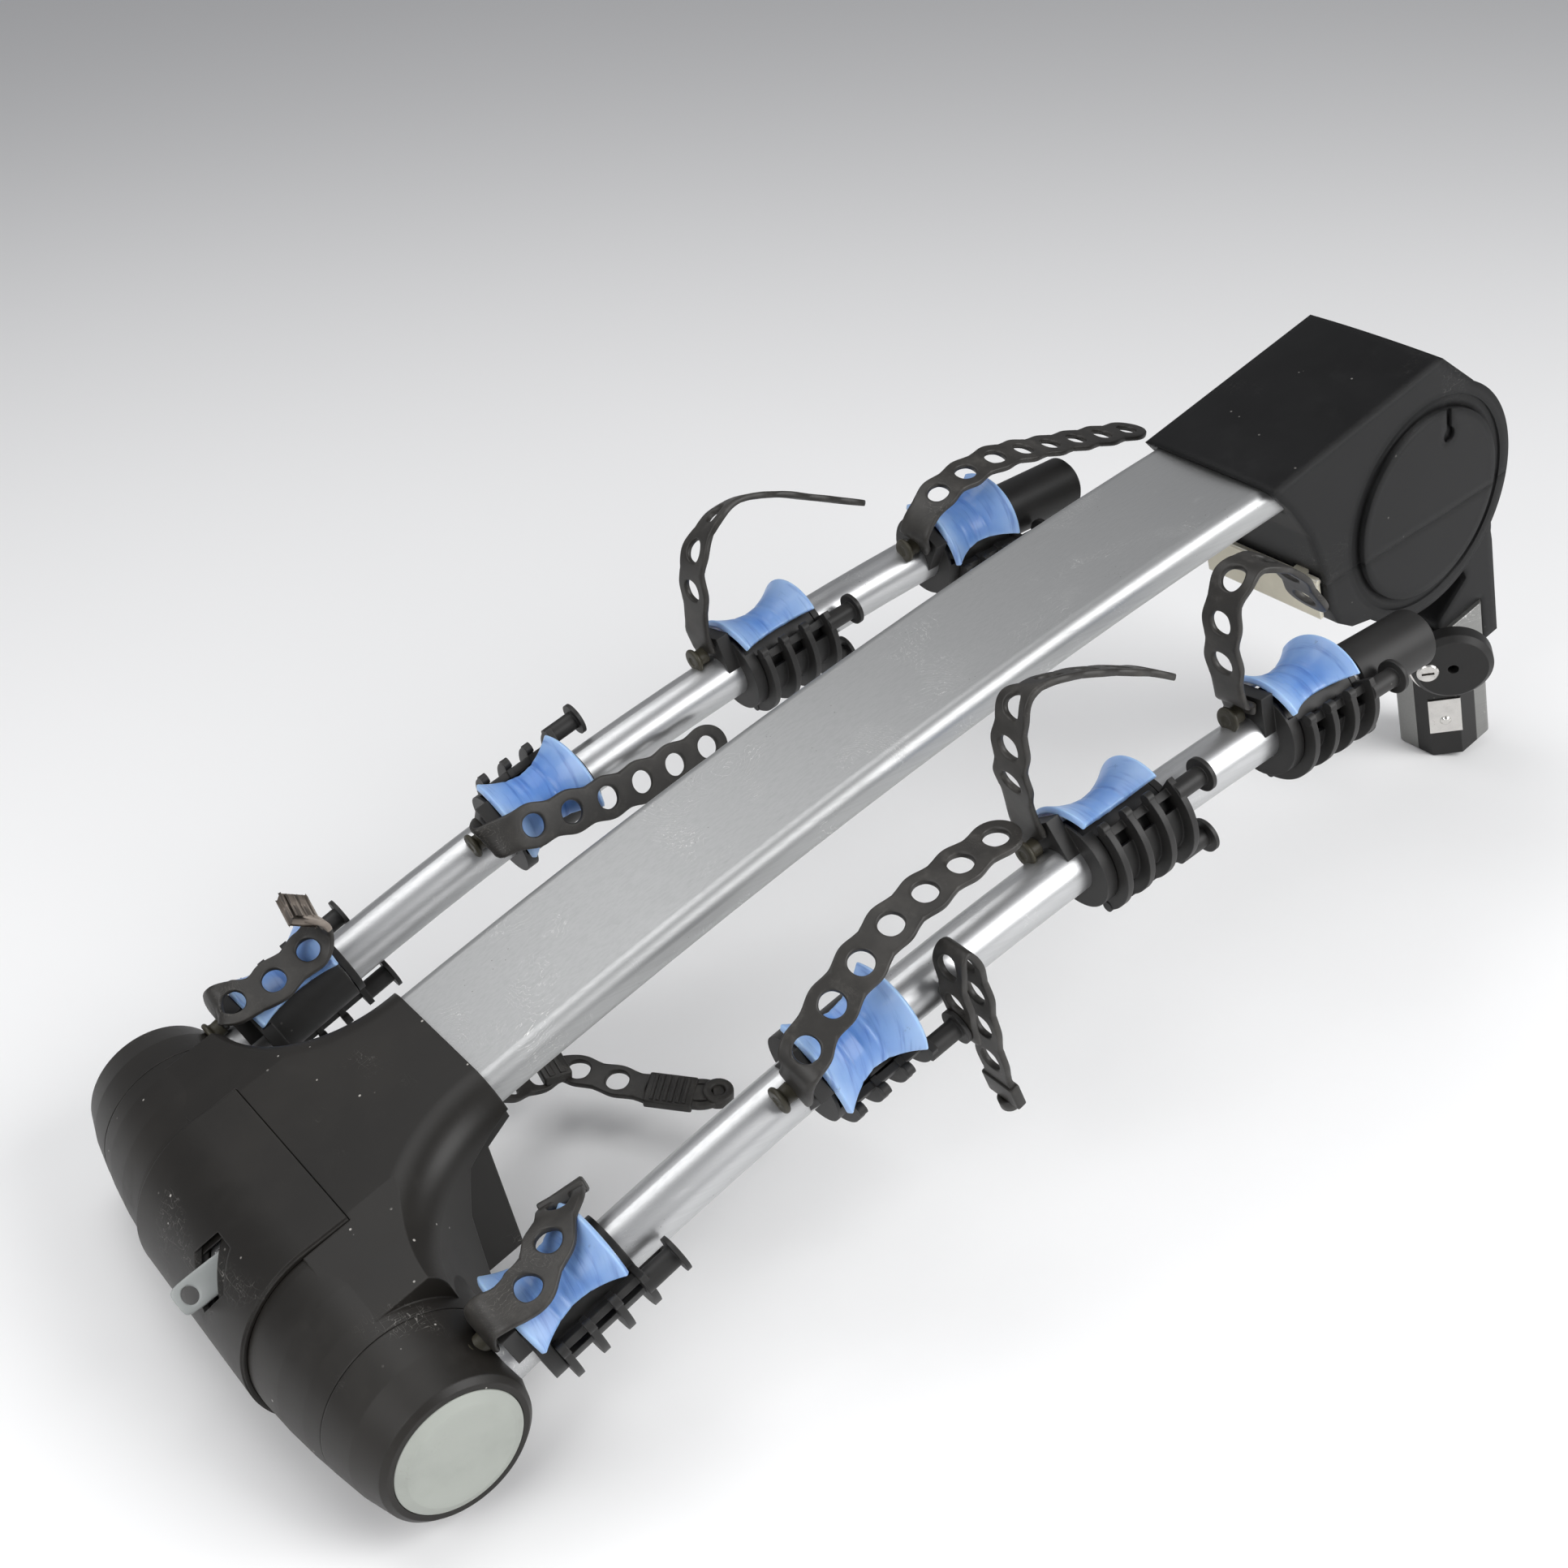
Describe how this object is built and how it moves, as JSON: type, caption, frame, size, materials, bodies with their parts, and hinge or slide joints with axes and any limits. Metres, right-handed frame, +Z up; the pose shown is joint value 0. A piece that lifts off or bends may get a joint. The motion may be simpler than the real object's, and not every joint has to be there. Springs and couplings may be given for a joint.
{
  "type": "hanging arm hitch bike rack",
  "caption": "Folded hitch bike rack: bowed mast, arm head with two folding arms, ring saddles with swivel cages and ladder straps, pivot housing and square hitch tube.",
  "frame": {"origin": "middle of the footprint on the floor plane Z = 0, with the folded rack lying as in the picture", "axes": "+X from the arm head to the pivot housing, +Z up, arms and hitch tube either side of the XZ middle plane"},
  "size_m": [1.0848, 0.3888, 0.3699],
  "materials": {
    "steel_zinc": "zinc plated, satin",
    "satin_aluminium": "satin anodised",
    "blue_saddle": "soft, slightly clouded",
    "black_rubber": "matte",
    "grey_cap": "satin",
    "cast_metal": "satin",
    "bright_steel": "polished, worn",
    "inner_steel": "machined",
    "coated_metal": "black coat",
    "black_plastic": "fine grain with scuffs"
  },
  "bodies": {
    "hitch": {"hitch_tube": "steel_zinc", "hitch_bracket": "coated_metal", "pivot_pin": "inner_steel", "corner_wedge": "black_plastic", "wedge_plate": "bright_steel", "wedge_rivet": "bright_steel", "draw_rod": "inner_steel"},
    "knob": {"hitch_knob": "black_plastic", "knob_wire": "bright_steel"},
    "lock": {"knob_lock": "bright_steel"},
    "mast": {"mast": "satin_aluminium", "head_cover": "black_plastic", "head_underside": "black_plastic", "head_core": "coated_metal", "head_axle": "inner_steel", "lock_loop": "cast_metal", "base_upper_shell": "black_plastic", "base_lower_shell": "black_plastic", "base_yoke": "coated_metal", "tether_strap": "black_rubber"},
    "fold_lever": {"fold_lever": "black_plastic"},
    "tilt_lever": {"tilt_lever": "grey_cap"},
    "near_arm": {"near_hub": "black_plastic", "near_end_cap": "grey_cap", "near_arm_tube": "satin_aluminium", "near_tip_cap": "black_plastic", "near_clamps": "black_plastic", "near_saddles": "blue_saddle", "near_strap_1": "black_rubber", "near_strap_2": "black_rubber", "near_strap_3": "black_rubber", "near_strap_4": "black_rubber"},
    "near_cage_1": {"near_cage_1": "black_plastic"},
    "near_cage_2": {"near_cage_2": "black_plastic", "sway_strap": "black_rubber"},
    "near_cage_3": {"near_cage_3": "black_plastic"},
    "near_cage_4": {"near_cage_4": "black_plastic"},
    "far_arm": {"far_hub": "black_plastic", "far_end_cap": "grey_cap", "far_arm_tube": "satin_aluminium", "far_tip_cap": "black_plastic", "far_clamps": "black_plastic", "far_saddles": "blue_saddle", "far_strap_1": "black_rubber", "far_strap_2": "black_rubber", "far_strap_3": "black_rubber", "far_strap_4": "black_rubber"},
    "far_cage_1": {"far_cage_1": "black_plastic"},
    "far_cage_2": {"far_cage_2": "black_plastic"},
    "far_cage_3": {"far_cage_3": "black_plastic"},
    "far_cage_4": {"far_cage_4": "black_plastic"}
  },
  "joints": [
    {"name": "mast_tilt", "type": "hinge", "parent": "hitch", "child": "mast", "pos_m": [0.37705, 0, 0.26351], "axis": [0, 1, 0], "range_deg": [0, 48]},
    {"name": "near_arm_fold", "type": "hinge", "parent": "mast", "child": "near_arm", "pos_m": [-0.46655, -0.153, 0.058], "axis": [0, -1, 0], "range_deg": [0, 92]},
    {"name": "far_arm_fold", "type": "hinge", "parent": "mast", "child": "far_arm", "pos_m": [-0.46655, 0.153, 0.058], "axis": [0, -1, 0], "range_deg": [0, 92]},
    {"name": "fold_release", "type": "hinge", "parent": "mast", "child": "fold_lever", "pos_m": [-0.46655, 0, 0.058], "axis": [0, -1, 0], "range_deg": [0, 8], "stiffness_Nm_per_rad": 4},
    {"name": "tilt_release", "type": "hinge", "parent": "mast", "child": "tilt_lever", "pos_m": [0.27758, 0, 0.23558], "axis": [0, 1, 0], "range_deg": [0, 12], "stiffness_Nm_per_rad": 0.6},
    {"name": "knob_turn", "type": "hinge", "parent": "hitch", "child": "knob", "pos_m": [0.46775, -0.02546, 0.1154], "axis": [-0.6769, -0.7071, -0.2043], "continuous": true},
    {"name": "lock_turn", "type": "hinge", "parent": "knob", "child": "lock", "pos_m": [0.44202, -0.02687, 0.10764], "axis": [-0.6769, -0.7071, -0.2043], "range_deg": [0, 90]},
    {"name": "near_cage_1_swivel", "type": "hinge", "parent": "near_arm", "child": "near_cage_1", "pos_m": [-0.35737, -0.153, 0.10656], "axis": [0.9283, 0, 0.3718], "range_deg": [-8, 60]},
    {"name": "near_cage_2_swivel", "type": "hinge", "parent": "near_arm", "child": "near_cage_2", "pos_m": [-0.17397, -0.153, 0.1703], "axis": [0.9588, 0, 0.2841], "range_deg": [-9, 60]},
    {"name": "near_cage_3_swivel", "type": "hinge", "parent": "near_arm", "child": "near_cage_3", "pos_m": [0.01859, -0.153, 0.21756], "axis": [0.9814, 0, 0.1921], "range_deg": [-8, 60]},
    {"name": "near_cage_4_swivel", "type": "hinge", "parent": "near_arm", "child": "near_cage_4", "pos_m": [0.16813, -0.153, 0.24124], "axis": [0.9927, 0, 0.1206], "range_deg": [-8, 60]},
    {"name": "far_cage_1_swivel", "type": "hinge", "parent": "far_arm", "child": "far_cage_1", "pos_m": [-0.35084, 0.153, 0.10916], "axis": [0.9296, 0, 0.3687], "range_deg": [-60, 8]},
    {"name": "far_cage_2_swivel", "type": "hinge", "parent": "far_arm", "child": "far_cage_2", "pos_m": [-0.17397, 0.153, 0.1703], "axis": [0.9588, 0, 0.2841], "range_deg": [-60, 8]},
    {"name": "far_cage_3_swivel", "type": "hinge", "parent": "far_arm", "child": "far_cage_3", "pos_m": [0.00874, 0.153, 0.21561], "axis": [0.9804, 0, 0.1968], "range_deg": [-8, 60]},
    {"name": "far_cage_4_swivel", "type": "hinge", "parent": "far_arm", "child": "far_cage_4", "pos_m": [0.17317, 0.153, 0.24185], "axis": [0.993, 0, 0.1182], "range_deg": [-9, 60]}
  ]
}
